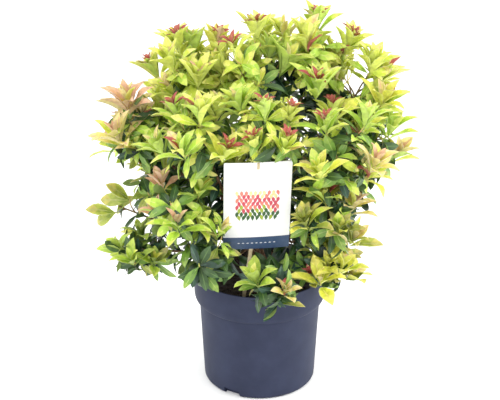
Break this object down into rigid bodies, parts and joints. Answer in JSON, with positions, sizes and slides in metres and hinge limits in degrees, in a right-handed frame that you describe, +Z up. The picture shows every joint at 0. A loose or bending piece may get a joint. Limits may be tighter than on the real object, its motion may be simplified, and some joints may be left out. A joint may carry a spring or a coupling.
{
  "type": "potted japanese pieris",
  "caption": "Evergreen flowering shrub with flushes of bright young leaves on a branching crown, standing in a tapered nursery pot with a picture label.",
  "frame": {"origin": "middle of the flat underside of the pot", "axes": "+Z up, -Y towards the plant label at the front, +X to the right seen from the front"},
  "size_m": [0.6147, 0.5238, 0.7473],
  "materials": {
    "pot_plastic": "matt moulded slate grey",
    "potting_soil": "moist crumbly peat",
    "bark": "shallowly furrowed bark",
    "leaf": "glossy leaf",
    "printed_card": "coated card",
    "label_stick": "smooth"
  },
  "bodies": {
    "root": {"bough_back": "bark", "bough_back_left": "bark", "bough_back_right": "bark", "bough_front": "bark", "bough_front_left": "bark", "bough_front_right": "bark", "bough_leader": "bark", "bough_left": "bark", "bough_low_back": "bark", "bough_low_front": "bark", "bough_low_front_left": "bark", "bough_low_left": "bark", "bough_low_right": "bark", "bough_right": "bark", "bough_stray_left": "bark", "bough_top_back": "bark", "bough_top_left": "bark", "bough_top_middle": "bark", "bough_top_right": "bark", "bough_upper_back_left": "bark", "bough_upper_back_right": "bark", "bough_upper_front": "bark", "bough_upper_front_left": "bark", "bough_upper_front_right": "bark", "bough_upper_left": "bark", "bough_upper_right": "bark", "foliage_back": "leaf", "foliage_back_left": "leaf", "foliage_back_right": "leaf", "foliage_front": "leaf", "foliage_front_left": "leaf", "foliage_front_right": "leaf", "foliage_leader": "leaf", "foliage_left": "leaf", "foliage_low_back": "leaf", "foliage_low_front": "leaf", "foliage_low_front_left": "leaf", "foliage_low_left": "leaf", "foliage_low_right": "leaf", "foliage_right": "leaf", "foliage_stray_left": "leaf", "foliage_top_back": "leaf", "foliage_top_left": "leaf", "foliage_top_middle": "leaf", "foliage_top_right": "leaf", "foliage_upper_back_left": "leaf", "foliage_upper_back_right": "leaf", "foliage_upper_front": "leaf", "foliage_upper_front_left": "leaf", "foliage_upper_front_right": "leaf", "foliage_upper_left": "leaf", "foliage_upper_right": "leaf", "label_card": "printed_card", "label_stick": "label_stick", "pot": "pot_plastic", "soil": "potting_soil", "trunk": "bark"}
  },
  "joints": []
}
